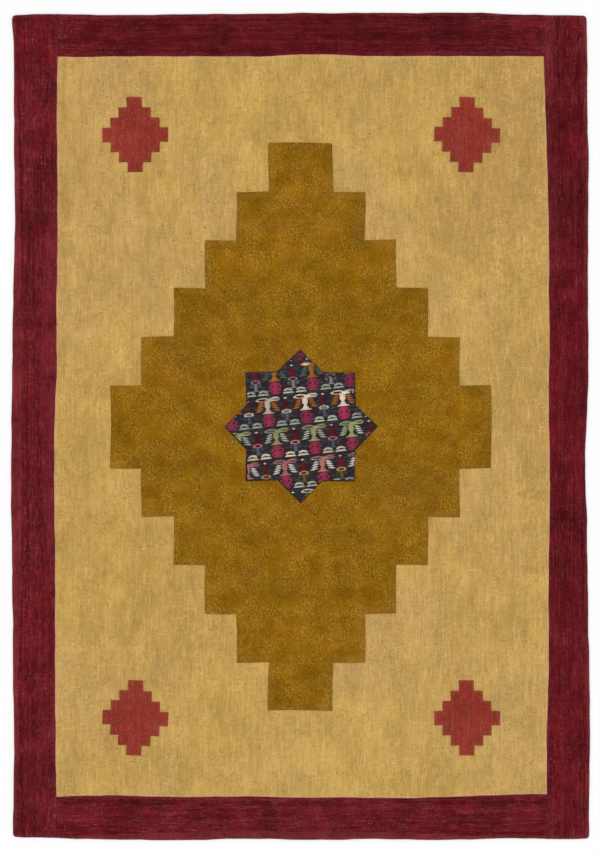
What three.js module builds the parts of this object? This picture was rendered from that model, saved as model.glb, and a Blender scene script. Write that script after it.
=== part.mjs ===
// A flat kilim patchwork rug, 160 by 230 cm, lying on the floor.
// Millimetres, Z up, X across the rug and Y along it. The origin is under the middle of the rug.
//
// Five flatwoven panels are sewn edge to edge and make the ground: the field and four border bands.
// Six patches with turned edges lie on it: a stepped medallion that carries an eight-pointed star
// patch, and a small stepped lozenge near each corner of the field.

import * as THREE from 'three';

// Rug and ground cloth
const RUG_WIDTH = 1600;
const RUG_LENGTH = 2300;
const GROUND_THICKNESS = 3;
const CORNER_RADIUS = 11;
const EDGE_ROUNDING = 0.8;

// Border bands, from the rug's edge to the field
const LEFT_BAND = 120;
const RIGHT_BAND = 111;
const TOP_BAND = 117;
const BOTTOM_BAND = 118;

// Room between pieces that are sewn together
const SEAM_GAP = 0.3;

// Patches
const PATCH_THICKNESS = 2;
const MEDALLION = {
  halfWidth: 530,
  halfLength: 790,
  sideHalf: 115,
  tipHalf: 90,
  steps: 5,
};
const CORNER_LOZENGE = {
  halfWidth: 92,
  halfLength: 104,
  sideHalf: 20,
  tipHalf: 20,
  steps: 3,
};
const CORNER_LOZENGE_X = 462;
const CORNER_LOZENGE_Y = 812;
const STAR_RADIUS = 214;
const STAR_POINTS = 8;

// Spacing of the points along an edge
const EDGE_STEP = 30;
const PATCH_STEP = 60;

// How far each long edge and seam strays outwards, at stations along the rug
const LENGTHWISE_STRAY = [
  { y: -1150, leftEdge: 1.5, rightEdge: 3.0, leftSeam: -2.0, rightSeam: -1.0 },
  { y: -1050, leftEdge: 0.0, rightEdge: 3.0, leftSeam: -1.0, rightSeam: -2.5 },
  { y: -950, leftEdge: -1.5, rightEdge: 4.5, leftSeam: 2.5, rightSeam: -3.0 },
  { y: -850, leftEdge: -2.0, rightEdge: 5.5, leftSeam: 2.5, rightSeam: -3.0 },
  { y: -750, leftEdge: 0.0, rightEdge: 4.5, leftSeam: 4.0, rightSeam: 0.5 },
  { y: -650, leftEdge: 1.5, rightEdge: 3.5, leftSeam: 4.0, rightSeam: 2.5 },
  { y: -550, leftEdge: 1.0, rightEdge: 0.5, leftSeam: 4.0, rightSeam: 2.5 },
  { y: -450, leftEdge: 3.5, rightEdge: 0.0, leftSeam: 4.0, rightSeam: 2.0 },
  { y: -350, leftEdge: 3.5, rightEdge: -2.5, leftSeam: 4.0, rightSeam: 3.0 },
  { y: -250, leftEdge: 6.0, rightEdge: -3.0, leftSeam: 6.0, rightSeam: 5.0 },
  { y: -150, leftEdge: 6.5, rightEdge: -7.5, leftSeam: 6.5, rightSeam: 5.5 },
  { y: -50, leftEdge: 5.5, rightEdge: -7.0, leftSeam: 6.5, rightSeam: 4.5 },
  { y: 50, leftEdge: 5.0, rightEdge: -2.0, leftSeam: 4.5, rightSeam: 2.5 },
  { y: 150, leftEdge: 3.0, rightEdge: 1.0, leftSeam: -0.5, rightSeam: 3.0 },
  { y: 250, leftEdge: 2.5, rightEdge: 1.0, leftSeam: 0.0, rightSeam: 5.5 },
  { y: 350, leftEdge: 0.5, rightEdge: 0.0, leftSeam: 0.5, rightSeam: 3.0 },
  { y: 450, leftEdge: -1.5, rightEdge: 0.0, leftSeam: -2.0, rightSeam: 3.5 },
  { y: 550, leftEdge: -4.5, rightEdge: 0.5, leftSeam: -2.5, rightSeam: 2.5 },
  { y: 650, leftEdge: -4.0, rightEdge: 1.0, leftSeam: -2.5, rightSeam: 0.5 },
  { y: 750, leftEdge: -2.0, rightEdge: 2.0, leftSeam: -2.0, rightSeam: -2.5 },
  { y: 850, leftEdge: -2.0, rightEdge: -1.5, leftSeam: -0.5, rightSeam: -5.5 },
  { y: 950, leftEdge: -1.5, rightEdge: -2.0, leftSeam: -1.5, rightSeam: -9.0 },
  { y: 1050, leftEdge: -1.5, rightEdge: -2.0, leftSeam: -3.5, rightSeam: -11.5 },
  { y: 1090, leftEdge: 1.0, rightEdge: -3.0, leftSeam: -4.0, rightSeam: -11.5 },
  { y: 1125, leftEdge: 3.5, rightEdge: -4.0, leftSeam: -4.0, rightSeam: -11.5 },
  { y: 1150, leftEdge: 3.5, rightEdge: -4.5, leftSeam: -4.0, rightSeam: -11.5 },
];

// The same for the short edges and seams, at stations across the rug
const CROSSWISE_STRAY = [
  { x: -800, topEdge: -4.5, bottomEdge: -7.0, topSeam: -3.0, bottomSeam: 0.0 },
  { x: -700, topEdge: -1.0, bottomEdge: -5.0, topSeam: -3.0, bottomSeam: 0.0 },
  { x: -600, topEdge: -3.0, bottomEdge: -1.5, topSeam: -3.5, bottomSeam: -3.5 },
  { x: -500, topEdge: -4.0, bottomEdge: 0.0, topSeam: -2.0, bottomSeam: -4.0 },
  { x: -400, topEdge: -3.0, bottomEdge: 1.5, topSeam: -2.0, bottomSeam: -1.0 },
  { x: -300, topEdge: -1.5, bottomEdge: 1.5, topSeam: -2.0, bottomSeam: 0.0 },
  { x: -200, topEdge: -1.0, bottomEdge: -2.0, topSeam: -2.0, bottomSeam: -1.5 },
  { x: -100, topEdge: -0.5, bottomEdge: -2.0, topSeam: -2.0, bottomSeam: -1.0 },
  { x: 0, topEdge: 2.0, bottomEdge: 0.5, topSeam: 3.5, bottomSeam: 2.0 },
  { x: 100, topEdge: 1.0, bottomEdge: 0.5, topSeam: 2.5, bottomSeam: 1.0 },
  { x: 200, topEdge: 2.5, bottomEdge: -2.0, topSeam: -1.5, bottomSeam: 2.0 },
  { x: 300, topEdge: 1.5, bottomEdge: 0.0, topSeam: -1.0, bottomSeam: 3.0 },
  { x: 400, topEdge: 2.5, bottomEdge: 1.0, topSeam: -1.0, bottomSeam: 0.0 },
  { x: 500, topEdge: 2.0, bottomEdge: -1.5, topSeam: -1.5, bottomSeam: -3.5 },
  { x: 600, topEdge: -2.5, bottomEdge: -4.0, topSeam: -1.5, bottomSeam: -7.0 },
  { x: 700, topEdge: -4.0, bottomEdge: -1.5, topSeam: -1.5, bottomSeam: -8.5 },
  { x: 800, topEdge: -6.0, bottomEdge: -2.0, topSeam: -1.5, bottomSeam: -8.5 },
];

// Every edge and seam also ripples by this much, over about this length
const RIPPLE = { depth: 0.8, length: 125 };

// Hand-cut unevenness of a patch: its edge sways by this much over about this length
const PATCH_SWAY = { depth: 1.8, length: 310 };
const CORNER_PLACES = [
  { name: 'corner_top_left', side: -1, end: 1, turn: 1.2 },
  { name: 'corner_top_right', side: 1, end: 1, turn: -0.9 },
  { name: 'corner_bottom_left', side: -1, end: -1, turn: -1.4 },
  { name: 'corner_bottom_right', side: 1, end: -1, turn: 0.7 },
];

const burgundy = new THREE.MeshStandardMaterial({ color: 0x611b21, roughness: 0.95, metalness: 0 });
const sand = new THREE.MeshStandardMaterial({ color: 0xc39c58, roughness: 0.95, metalness: 0 });
const mustard = new THREE.MeshStandardMaterial({ color: 0x8a6015, roughness: 0.95, metalness: 0 });
const brick = new THREE.MeshStandardMaterial({ color: 0x8f362c, roughness: 0.95, metalness: 0 });
const plum = new THREE.MeshStandardMaterial({ color: 0x3a2a2b, roughness: 0.9, metalness: 0 });

// Values from first to last, evenly spaced, no further apart than the step
function stations(first, last, step) {
  const count = Math.ceil(Math.abs(last - first) / step);
  return Array.from({ length: count + 1 }, (_, i) => first + ((last - first) * i) / count);
}

// The small unevenness of a hand-turned edge, which starts at its own phase on each line
function ripple(where, phase) {
  const turn = (2 * Math.PI * where) / RIPPLE.length;
  return RIPPLE.depth * (0.6 * Math.sin(turn + phase) + 0.4 * Math.sin(1.7 * turn + 2.3 * phase));
}

// A smooth line through one column of a stray table, held as short straight lengths between fixed
// stations, so that two pieces that share a seam follow the same line
function strayLine(table, place, column, phase) {
  const places = table.map((row) => row[place]);
  const strays = table.map((row) => row[column]);
  const smooth = new THREE.CubicInterpolant(places, strays, 1, new Float32Array(1));
  const first = places[0];
  const last = places.at(-1);
  const fixed = stations(first, last, EDGE_STEP);
  const values = fixed.map((at) => smooth.evaluate(at)[0] + ripple(at, phase));
  const spacing = fixed[1] - first;
  return {
    fixed,
    at(where) {
      const position = THREE.MathUtils.clamp((where - first) / spacing, 0, fixed.length - 1);
      const index = Math.min(Math.floor(position), fixed.length - 2);
      return THREE.MathUtils.lerp(values[index], values[index + 1], position - index);
    },
  };
}

// The rug's edges and seams. Each has an outward direction, a distance from the middle, a stray and
// the phase of its ripple.
function lengthwise(column, outward, distance, phase) {
  const stray = strayLine(LENGTHWISE_STRAY, 'y', column, phase);
  return { fixed: stray.fixed, outward, at: (y) => outward * (distance + stray.at(y)) };
}

function crosswise(column, outward, distance, phase) {
  const stray = strayLine(CROSSWISE_STRAY, 'x', column, phase);
  return { fixed: stray.fixed, outward, at: (x) => outward * (distance + stray.at(x)) };
}

const leftEdge = lengthwise('leftEdge', -1, RUG_WIDTH / 2, 0.4);
const rightEdge = lengthwise('rightEdge', 1, RUG_WIDTH / 2, 1.7);
const leftSeam = lengthwise('leftSeam', -1, RUG_WIDTH / 2 - LEFT_BAND, 2.9);
const rightSeam = lengthwise('rightSeam', 1, RUG_WIDTH / 2 - RIGHT_BAND, 4.2);
const topEdge = crosswise('topEdge', 1, RUG_LENGTH / 2, 0.9);
const bottomEdge = crosswise('bottomEdge', -1, RUG_LENGTH / 2, 2.2);
const topSeam = crosswise('topSeam', 1, RUG_LENGTH / 2 - TOP_BAND, 3.5);
const bottomSeam = crosswise('bottomSeam', -1, RUG_LENGTH / 2 - BOTTOM_BAND, 5.1);

// A line moved sideways by half the seam's gap, towards (-1) or away from (1) the middle
function beside(line, way) {
  return { ...line, at: (where) => line.at(where) + (way * line.outward * SEAM_GAP) / 2 };
}

// Where a lengthwise line crosses a crosswise line
function crossing(lengthLine, crossLine) {
  let y = crossLine.at(0);
  for (let pass = 0; pass < 8; pass += 1) {
    y = crossLine.at(lengthLine.at(y));
  }
  return new THREE.Vector2(lengthLine.at(y), y);
}

// The points of a line between two corners, clear of each corner by its own room
function between(line, from, to, along) {
  const inside = line.fixed
    .filter((where) => Math.abs(where - from.point[along]) > from.room)
    .filter((where) => Math.abs(where - to.point[along]) > to.room)
    .filter((where) => (where - from.point[along]) * (where - to.point[along]) < 0);
  if (from.point[along] > to.point[along]) {
    inside.reverse();
  }
  return inside.map((where) => (along === 'y'
    ? new THREE.Vector2(line.at(where), where)
    : new THREE.Vector2(where, line.at(where))));
}

// A panel's outline, counter-clockwise from the bottom left, with the named corners rounded
function panelShape({ left, right, top, bottom, rounded }) {
  const corners = [
    { name: 'bottomLeft', point: crossing(left, bottom), next: bottom, along: 'x' },
    { name: 'bottomRight', point: crossing(right, bottom), next: right, along: 'y' },
    { name: 'topRight', point: crossing(right, top), next: top, along: 'x' },
    { name: 'topLeft', point: crossing(left, top), next: left, along: 'y' },
  ].map((corner) => ({ ...corner, room: rounded.includes(corner.name) ? 2 * CORNER_RADIUS : 1 }));
  const shape = new THREE.Shape();
  corners.forEach((corner, i) => {
    const { point } = corner;
    const before = corners[(i + 3) % 4];
    const after = corners[(i + 1) % 4];
    const radius = rounded.includes(corner.name) ? CORNER_RADIUS : 0;
    const arrive = point.clone().lerp(before.point, radius / point.distanceTo(before.point));
    const leave = point.clone().lerp(after.point, radius / point.distanceTo(after.point));
    if (i === 0) {
      shape.moveTo(arrive.x, arrive.y);
    } else {
      shape.lineTo(arrive.x, arrive.y);
    }
    if (radius > 0) {
      shape.quadraticCurveTo(point.x, point.y, leave.x, leave.y);
    }
    between(corner.next, corner, after, corner.along).forEach(({ x, y }) => shape.lineTo(x, y));
  });
  return shape;
}

// One quarter of a stepped lozenge, from its side to its tip
function quarterSteps({ halfWidth, halfLength, sideHalf, tipHalf, steps }) {
  const run = (halfWidth - tipHalf) / steps;
  const rise = (halfLength - sideHalf) / steps;
  const points = [new THREE.Vector2(halfWidth, sideHalf)];
  for (let i = 1; i <= steps; i += 1) {
    points.push(new THREE.Vector2(halfWidth - run * i, sideHalf + rise * (i - 1)));
    points.push(new THREE.Vector2(halfWidth - run * i, sideHalf + rise * i));
  }
  return points;
}

function steppedLozenge(sizes) {
  const quarter = quarterSteps(sizes);
  const back = [...quarter].reverse();
  const flip = (points, x, y) => points.map((p) => new THREE.Vector2(p.x * x, p.y * y));
  return [...quarter, ...flip(back, -1, 1), ...flip(quarter, -1, -1), ...flip(back, 1, -1)];
}

// The outline of two equal squares laid over each other, one turned an eighth of a turn
function eightPointedStar(radius, points) {
  const inner = (radius * Math.SQRT1_2) / Math.cos(Math.PI / points);
  return Array.from({ length: points * 2 }, (_, i) => {
    const angle = (Math.PI * i) / points;
    const reach = i % 2 === 0 ? radius : inner;
    return new THREE.Vector2(reach * Math.cos(angle), reach * Math.sin(angle));
  });
}

// Cuts long straight edges into short lengths and sways every point a little, as hand-turned
// edges do
function handCut(corners, { depth, length }) {
  const points = [];
  corners.forEach((corner, i) => {
    const next = corners[(i + 1) % corners.length];
    const lengths = Math.ceil(corner.distanceTo(next) / PATCH_STEP);
    for (let k = 0; k < lengths; k += 1) {
      points.push(corner.clone().lerp(next, k / lengths));
    }
  });
  const pace = (2 * Math.PI) / length;
  return points.map(({ x, y }) => new THREE.Vector2(
    x + depth * Math.sin(pace * y + 1.3) + depth * 0.5 * Math.sin(pace * 2.3 * x + 0.4),
    y + depth * Math.sin(pace * x + 2.1) + depth * 0.5 * Math.sin(pace * 2.1 * y + 1.9),
  ));
}

// A sheet of cloth with softened edges, lying with its underside at the given height
function sheet(name, shape, thickness, height, material) {
  const geometry = new THREE.ExtrudeGeometry(shape, {
    depth: thickness - 2 * EDGE_ROUNDING,
    bevelEnabled: true,
    bevelThickness: EDGE_ROUNDING,
    bevelSize: EDGE_ROUNDING,
    bevelOffset: -EDGE_ROUNDING,
    bevelSegments: 1,
    curveSegments: 4,
  });
  const mesh = new THREE.Mesh(geometry, material);
  mesh.name = name;
  mesh.position.z = height + EDGE_ROUNDING;
  return mesh;
}

// The ground: the side bands run the whole length and the short bands butt between them
function groundPanels() {
  const panels = [
    {
      name: 'border_left',
      material: burgundy,
      left: leftEdge,
      right: beside(leftSeam, 1),
      top: topEdge,
      bottom: bottomEdge,
      rounded: ['topLeft', 'bottomLeft'],
    },
    {
      name: 'border_right',
      material: burgundy,
      left: beside(rightSeam, 1),
      right: rightEdge,
      top: topEdge,
      bottom: bottomEdge,
      rounded: ['topRight', 'bottomRight'],
    },
    {
      name: 'border_top',
      material: burgundy,
      left: beside(leftSeam, -1),
      right: beside(rightSeam, -1),
      top: topEdge,
      bottom: beside(topSeam, 1),
      rounded: [],
    },
    {
      name: 'border_bottom',
      material: burgundy,
      left: beside(leftSeam, -1),
      right: beside(rightSeam, -1),
      top: beside(bottomSeam, 1),
      bottom: bottomEdge,
      rounded: [],
    },
    {
      name: 'field',
      material: sand,
      left: beside(leftSeam, -1),
      right: beside(rightSeam, -1),
      top: beside(topSeam, -1),
      bottom: beside(bottomSeam, -1),
      rounded: [],
    },
  ];
  return panels.map((panel) => sheet(panel.name, panelShape(panel), GROUND_THICKNESS, 0, panel.material));
}

function medallionPatches() {
  const medallionHeight = GROUND_THICKNESS + SEAM_GAP;
  const starHeight = medallionHeight + PATCH_THICKNESS + SEAM_GAP;
  const medallionShape = new THREE.Shape(handCut(steppedLozenge(MEDALLION), PATCH_SWAY));
  const starShape = new THREE.Shape(handCut(eightPointedStar(STAR_RADIUS, STAR_POINTS), PATCH_SWAY));
  return [
    sheet('medallion', medallionShape, PATCH_THICKNESS, medallionHeight, mustard),
    sheet('star', starShape, PATCH_THICKNESS, starHeight, plum),
  ];
}

function cornerPatches() {
  const shape = new THREE.Shape(handCut(steppedLozenge(CORNER_LOZENGE), PATCH_SWAY));
  return CORNER_PLACES.map(({ name, side, end, turn }) => {
    const patch = sheet(name, shape, PATCH_THICKNESS, GROUND_THICKNESS + SEAM_GAP, brick);
    patch.position.x = side * CORNER_LOZENGE_X;
    patch.position.y = end * CORNER_LOZENGE_Y;
    patch.rotation.z = THREE.MathUtils.degToRad(turn);
    return patch;
  });
}

// The rug's uneven outline is centred on the origin as a whole
const pieces = new THREE.Group();
pieces.add(...groundPanels(), ...medallionPatches(), ...cornerPatches());
const middle = new THREE.Box3().setFromObject(pieces, true).getCenter(new THREE.Vector3());
pieces.position.set(-middle.x, -middle.y, 0);

const group = new THREE.Group();
group.add(pieces);
group.updateMatrixWorld(true);

export default group;
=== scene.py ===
"""A flat kilim patchwork rug: five sewn ground panels, a mustard medallion, a brocaded star and four
brick-red corner patches, lying on a pale floor and seen from straight above."""

import math
import random

import bmesh
import bpy
from mathutils import Matrix, Vector, kdtree, noise


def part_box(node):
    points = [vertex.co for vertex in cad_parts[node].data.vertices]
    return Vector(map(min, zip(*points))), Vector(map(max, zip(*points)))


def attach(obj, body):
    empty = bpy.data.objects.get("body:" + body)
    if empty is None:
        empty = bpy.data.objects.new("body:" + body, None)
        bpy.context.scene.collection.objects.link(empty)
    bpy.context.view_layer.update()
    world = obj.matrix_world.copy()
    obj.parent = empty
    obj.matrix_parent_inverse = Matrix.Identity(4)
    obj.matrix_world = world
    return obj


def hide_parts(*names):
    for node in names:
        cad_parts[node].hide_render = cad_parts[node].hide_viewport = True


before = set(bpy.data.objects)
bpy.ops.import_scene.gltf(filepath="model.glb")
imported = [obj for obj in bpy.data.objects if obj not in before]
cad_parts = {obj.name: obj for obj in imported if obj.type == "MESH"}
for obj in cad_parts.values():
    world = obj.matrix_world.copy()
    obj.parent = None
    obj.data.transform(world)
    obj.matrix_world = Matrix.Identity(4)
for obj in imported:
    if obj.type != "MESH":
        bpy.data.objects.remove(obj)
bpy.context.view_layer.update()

MM = 0.001

# Picture: the camera looks straight down and sees this much of the floor
PICTURE_HEIGHT_PX = 853
ROOM_PER_PIXEL = 2.7845 * MM
LENS_MM = 100.0
SENSOR_MM = 36.0
PICTURE_CENTRE = (-0.0011, -0.0003)

# Cloth
WELD = 0.01 * MM
STRAIGHT = 0.002
CROWDED = 1.6 * MM
GRID_PITCH = 12.3 * MM
HEM_RINGS = (0.5, 1.2, 2.4, 4.4, 5.5, 6.6, 9.0, 12.5)
HEM_STEP_RINGS = (14.5, 18.0)
STITCH_RING = 5.5
OUTLINE_STEP = 1.0 * MM
SEAM_REACH = 1.0 * MM
FAR_FROM_EDGE = 80 * MM
EDGE_ROUND = 1.3 * MM
RIM_FLAT = 0.35
SEAM_FLAT = 0.62
HEM_WIDTH = 18 * MM
HEM_STEP = 3.5 * MM
HEM_SWELL = 0.5 * MM
STITCH_DENT = 0.4 * MM
STITCH_DENT_WIDTH = 1.2 * MM
PUCKER = 0.35 * MM
PUCKER_REACH = 14 * MM
PUCKER_SIZE = 17 * MM
THREAD_WANDER = 3 * MM
WANDER_TURNS = (2.6, 2.1)

# Soft buckles of the lying cloth: how high, how wide and how long each set is
BUCKLES = (
    {"height": 0.55 * MM, "wide": 0.21, "long": 0.34, "seed": 1.7},
    {"height": 0.30 * MM, "wide": 0.075, "long": 0.11, "seed": 8.2},
)
LOWEST_BUCKLE = 0.62

# Sewing thread
STITCH_LENGTH = 4.2 * MM
STITCH_PITCH = 8.0 * MM
STITCH_WIDTH = 1.0 * MM
STITCH_HEIGHT = 0.75 * MM
STITCH_BLUNTNESS = 0.55
STITCH_SAG = 1.8
STITCH_SEAT = 0.15
STITCH_TURN = 0.12
STITCH_LENGTHS = (0.8, 1.1)
STITCH_SPACINGS = (0.93, 1.07)
SEAM_STITCH_LENGTH = 4.2 * MM
SEAM_STITCH_PITCH = 5.4 * MM
SEAM_STITCH_SLANT = math.radians(55)
SEAM_STITCH_SEAT = -0.2
SEAM_STITCH_TURN = 0.15
SEAM_STITCH_LENGTHS = (0.85, 1.1)

# Weave: one yarn shows for the length of a rib, then dives under a warp
YARN = 1.35 * MM
RIB = 3.1 * MM
# how much of the cloth lies in the grooves, under the painted groove shade
GROOVE_SHARE = 0.36
FINE_PATCH = 8.0
WAVE_PERIOD = math.pi / 10
YARN_CROWN = 1.3
RIB_CROWN = 1.6
FUZZ = 0.5
RELIEF_STRENGTH = 0.7
BLACK = (0.0, 0.0, 0.0, 1.0)

# Noise: its roughness, where a zone or a shade begins and is full, and how far the noise of one row
# of a table lies from that of the next, after a start
NOISE_ROUGHNESS = 0.55
ZONE_RANGE = (0.36, 0.58)
SHADE_RANGE = (0.25, 0.75)
TATTER_RANGE = (0.3, 0.7)
TATTER_SIZE = 14
TATTER_PLACE = 41.0
FUZZ_PLACE = 23.0
LAYER_PLACES = (0.0, 3.7)
ZONE_PLACES = (30.0, 9.1)
SHADE_PLACES = (60.0, 5.3)

# Brocading: the size of one charted cell, and how steeply its rows climb across the patch
CELL_WIDE = 3.0 * MM
CELL_TALL = 1.6 * MM
FLOAT_HEIGHT = 0.9 * MM
FLOAT_SIDES = 6
FLOAT_SEAT = 0.2
FLOAT_SHIFT = 0.3 * MM
FLOAT_LENGTHS = (0.97, 1.06)
FLOAT_TONES = (0.78, 1.04)
MOTIF_TONES = (0.70, 1.12)
ROW_SHIFT = 0.1 * MM
BROCADE_TURN = math.radians(6.0)
BROCADE_MARGIN = 2.2 * MM
BROCADE_WARP = 1.9 * MM
BROCADE_REACH = 1.3

# Room
FLOOR_DROP = 0.05 * MM
FLOOR_HALF_WIDTH = 40.0
ROOM_LIGHT = 0.72
WINDOW_LIGHT = 1.16
WINDOW_SPREAD = math.radians(24)
WINDOW_FROM = (-0.45, 0.5, 1.0)

DYES = {
    "pink": (178, 58, 92),
    "crimson": (118, 28, 42),
    "madder": (102, 28, 40),
    "cream": (238, 221, 196),
    "white": (238, 231, 222),
    "mist": (196, 204, 186),
    "orange": (208, 124, 44),
    "olive": (116, 108, 62),
    "sage": (88, 116, 104),
    "teal": (48, 88, 98),
    "slate": (98, 106, 122),
    "salmon": (202, 134, 126),
    "lime": (176, 174, 118),
    "honey": (200, 158, 88),
    "grey": (150, 146, 150),
}

# The motifs of the brocading, charted as letters. A letter is a cell of raised thread: T trunk and
# outline of a tree, C its crown, L leaf, R bud, D dot, P blossom, W half moon, E flower ring, H its
# heart, S stalk.
TREE = (
    "......TTTTT.......TTTTT..",
    "....TTTTTTTTT...TTTTTTTT.",
    "...TTCCCCCCTTTTTTT.......",
    "..TTCCCCCCCCTTTTTTTTTTTTT",
    "..TTCCCCCCCCTTTTTT.......",
    "...TTTCCCCTTTTTTTTTTTTTT.",
    ".....TTTTTT.TTTTTTTTTTT..",
    "..........TTTTTT.........",
    "..........TTTTT..........",
    "......LLL.TTTTT.LLL......",
    ".....LLLL.TTTTT.LLLL.....",
    "....LLLL..TTTTT..LLLL....",
    "..........TTTTT..........",
    ".....LLLL.TTTTT.LLLL.....",
    "....LLLLL.TTTTT.LLLLL....",
    "...LLLL...TTTTT...LLLL...",
    "..........TTTTT..........",
    "....LLLL...TTT...LLLL....",
    "...LLLLL...TTT...LLLLL...",
    "..LLLL.....TTT.....LLLL..",
    "...........TTT...........",
    "...LLLL....TTT....LLLL...",
    "..LLLLL...TTTTT...LLLLL..",
    ".LLLL.....TTTTT.....LLLL.",
    "..........TTTTT..........",
    ".........TTTTTTT.........",
    "........TTTTTTTTT........",
    ".......TTTTTTTTTTT.......",
)
BUD = (
    "...D...",
    "..DDD..",
    "...D...",
    ".......",
    "...R...",
    "...R...",
    "..RRR..",
    "..RRR..",
    ".RRRRR.",
    ".RRRRR.",
    ".RRRRR.",
    ".RRRRR.",
    ".RRRRR.",
    ".RRRRR.",
    ".RRRRR.",
    "..RRR..",
    "..RRR..",
    ".RRRRR.",
    ".RRRRR.",
    "RRRRRRR",
    "RRRRRRR",
)
BLOSSOM = (
    "....PPP....",
    "..PPPPPPP..",
    ".PPPPPPPPP.",
    "..PPPPPPP..",
    "...PPPPP...",
    ".PPPPPPPPP.",
    "PPPPPPPPPPP",
    "PP..PPP..PP",
    "P...PPP...P",
    "PP..PPP..PP",
    "PPPPPPPPPPP",
    ".PPPPPPPPP.",
    "...PPPPP...",
    ".PPPPPPPPP.",
    "PPPPPPPPPPP",
    "PPPPPPPPPPP",
    "P..PPPPP..P",
    "...PPPPP...",
    ".PPPPPPPPP.",
    ".PPPPPPPPP.",
    "..PPPPPPP..",
    "...P.P.P...",
)
HALF_MOON = (
    "...WWWW...",
    "..WWWWWW..",
    ".WWWWWWWW.",
    ".WWW..WWW.",
    ".W......W.",
    "..........",
    ".WWWWWWWW.",
    "WWWWWWWWWW",
    "WWWWWWWWWW",
)
SPRIG = (
    "....EEE....",
    "..EEEEEEE..",
    ".EEE...EEE.",
    ".EE.HHH.EE.",
    ".EE.HHH.EE.",
    ".EEE...EEE.",
    "..EEEEEEE..",
    "....SSS....",
    "S...SSS...S",
    ".SS.SSS.SS.",
    "....SSS....",
    "SS..SSS..SS",
    "..S.SSS.S..",
    "....SSS....",
    "....SSS....",
    "....SSS....",
    "....SSS....",
    "....SSS....",
    "...SSSSS...",
    "..SSSSSSS..",
)

# Where each motif starts in one repeat: its first column and its first row
REPEAT_WIDE = 35
REPEAT_TALL = 55
LAYOUT = (
    (TREE, -1, 0),
    (BUD, 25, 2),
    (SPRIG, 23, 23),
    (BLOSSOM, 6, 29),
    (HALF_MOON, 18, 42),
    (HALF_MOON, 30, 42),
)

# The threads of each row of motifs, and how many cells that row is shifted sideways
FIXED_THREADS = {"D": "white", "P": "pink"}
ROW_THREADS = (
    {"T": "lime", "C": "slate", "L": "mist", "R": "madder", "W": "cream", "E": "salmon", "H": "madder",
     "S": "slate", "shift": 0},
    {"T": "salmon", "C": "sage", "L": "white", "R": "crimson", "W": "mist", "E": "honey", "H": "crimson",
     "S": "olive", "shift": 5},
    {"T": "cream", "C": "olive", "L": "olive", "R": "madder", "W": "cream", "E": "salmon", "H": "teal",
     "S": "teal", "shift": -7},
    {"T": "orange", "C": "cream", "L": "sage", "R": "crimson", "W": "mist", "E": "grey", "H": "crimson",
     "S": "grey", "shift": 4},
    {"T": "cream", "C": "madder", "L": "orange", "R": "madder", "W": "mist", "E": "mist", "H": "orange",
     "S": "slate", "shift": -5},
)

LARGE_PATCHES = ("medallion", "star")
GROUND = ("border_left", "border_right", "border_top", "border_bottom", "field")
CORNERS = ("corner_top_left", "corner_top_right", "corner_bottom_left", "corner_bottom_right")


def linear(value):
    """A screen value from 0 to 255 as the linear share of light that a shader takes."""
    if value > 10:
        return ((value / 255 + 0.055) / 1.055) ** 2.4
    return value / 255 / 12.92


def dye(red, green, blue):
    """A colour given in screen values, as a shader takes it."""
    return (linear(red), linear(green), linear(blue), 1.0)


# Materials

class Finish:
    """A material being built, node by node."""

    def __init__(self, name):
        self.material = bpy.data.materials.new(name)
        self.material.use_nodes = True
        self.tree = self.material.node_tree
        self.shader = self.tree.nodes["Principled BSDF"]

    def add(self, kind, inputs=None, **settings):
        node = self.tree.nodes.new(kind)
        for key, value in settings.items():
            setattr(node, key, value)
        for key, value in (inputs or {}).items():
            if isinstance(value, bpy.types.NodeSocket):
                self.tree.links.new(value, node.inputs[key])
            else:
                node.inputs[key].default_value = value
        return node

    def math(self, operation, first, second=0.0):
        return self.add("ShaderNodeMath", {0: first, 1: second}, operation=operation).outputs[0]

    def ramp(self, value, low, high, bottom=0.0, top=1.0):
        spread = {"Value": value, "From Min": low, "From Max": high, "To Min": bottom, "To Max": top}
        return self.add("ShaderNodeMapRange", spread, interpolation_type="SMOOTHSTEP").outputs[0]

    def speckled(self, scale, detail):
        """Noise that is the same size each way, on the piece's own place."""
        place = self.add("ShaderNodeTexCoord").outputs["Object"]
        fine = {"Vector": place, "Scale": scale, "Detail": detail}
        return self.add("ShaderNodeTexNoise", fine).outputs[0]

    def tinted(self, colour, other, amount, blend="MIX"):
        node = self.add("ShaderNodeMix", data_type="RGBA", blend_type=blend)
        for slot, value in ((0, amount), (6, colour), (7, other)):
            if isinstance(value, bpy.types.NodeSocket):
                self.tree.links.new(value, node.inputs[slot])
            else:
                node.inputs[slot].default_value = value
        return node.outputs[2]

    def raised(self, height, strength, depth):
        """Gives the surface a relief of a height and a depth."""
        bump = self.add("ShaderNodeBump", {"Height": height, "Strength": strength, "Distance": depth})
        self.tree.links.new(bump.outputs["Normal"], self.shader.inputs["Normal"])


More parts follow.
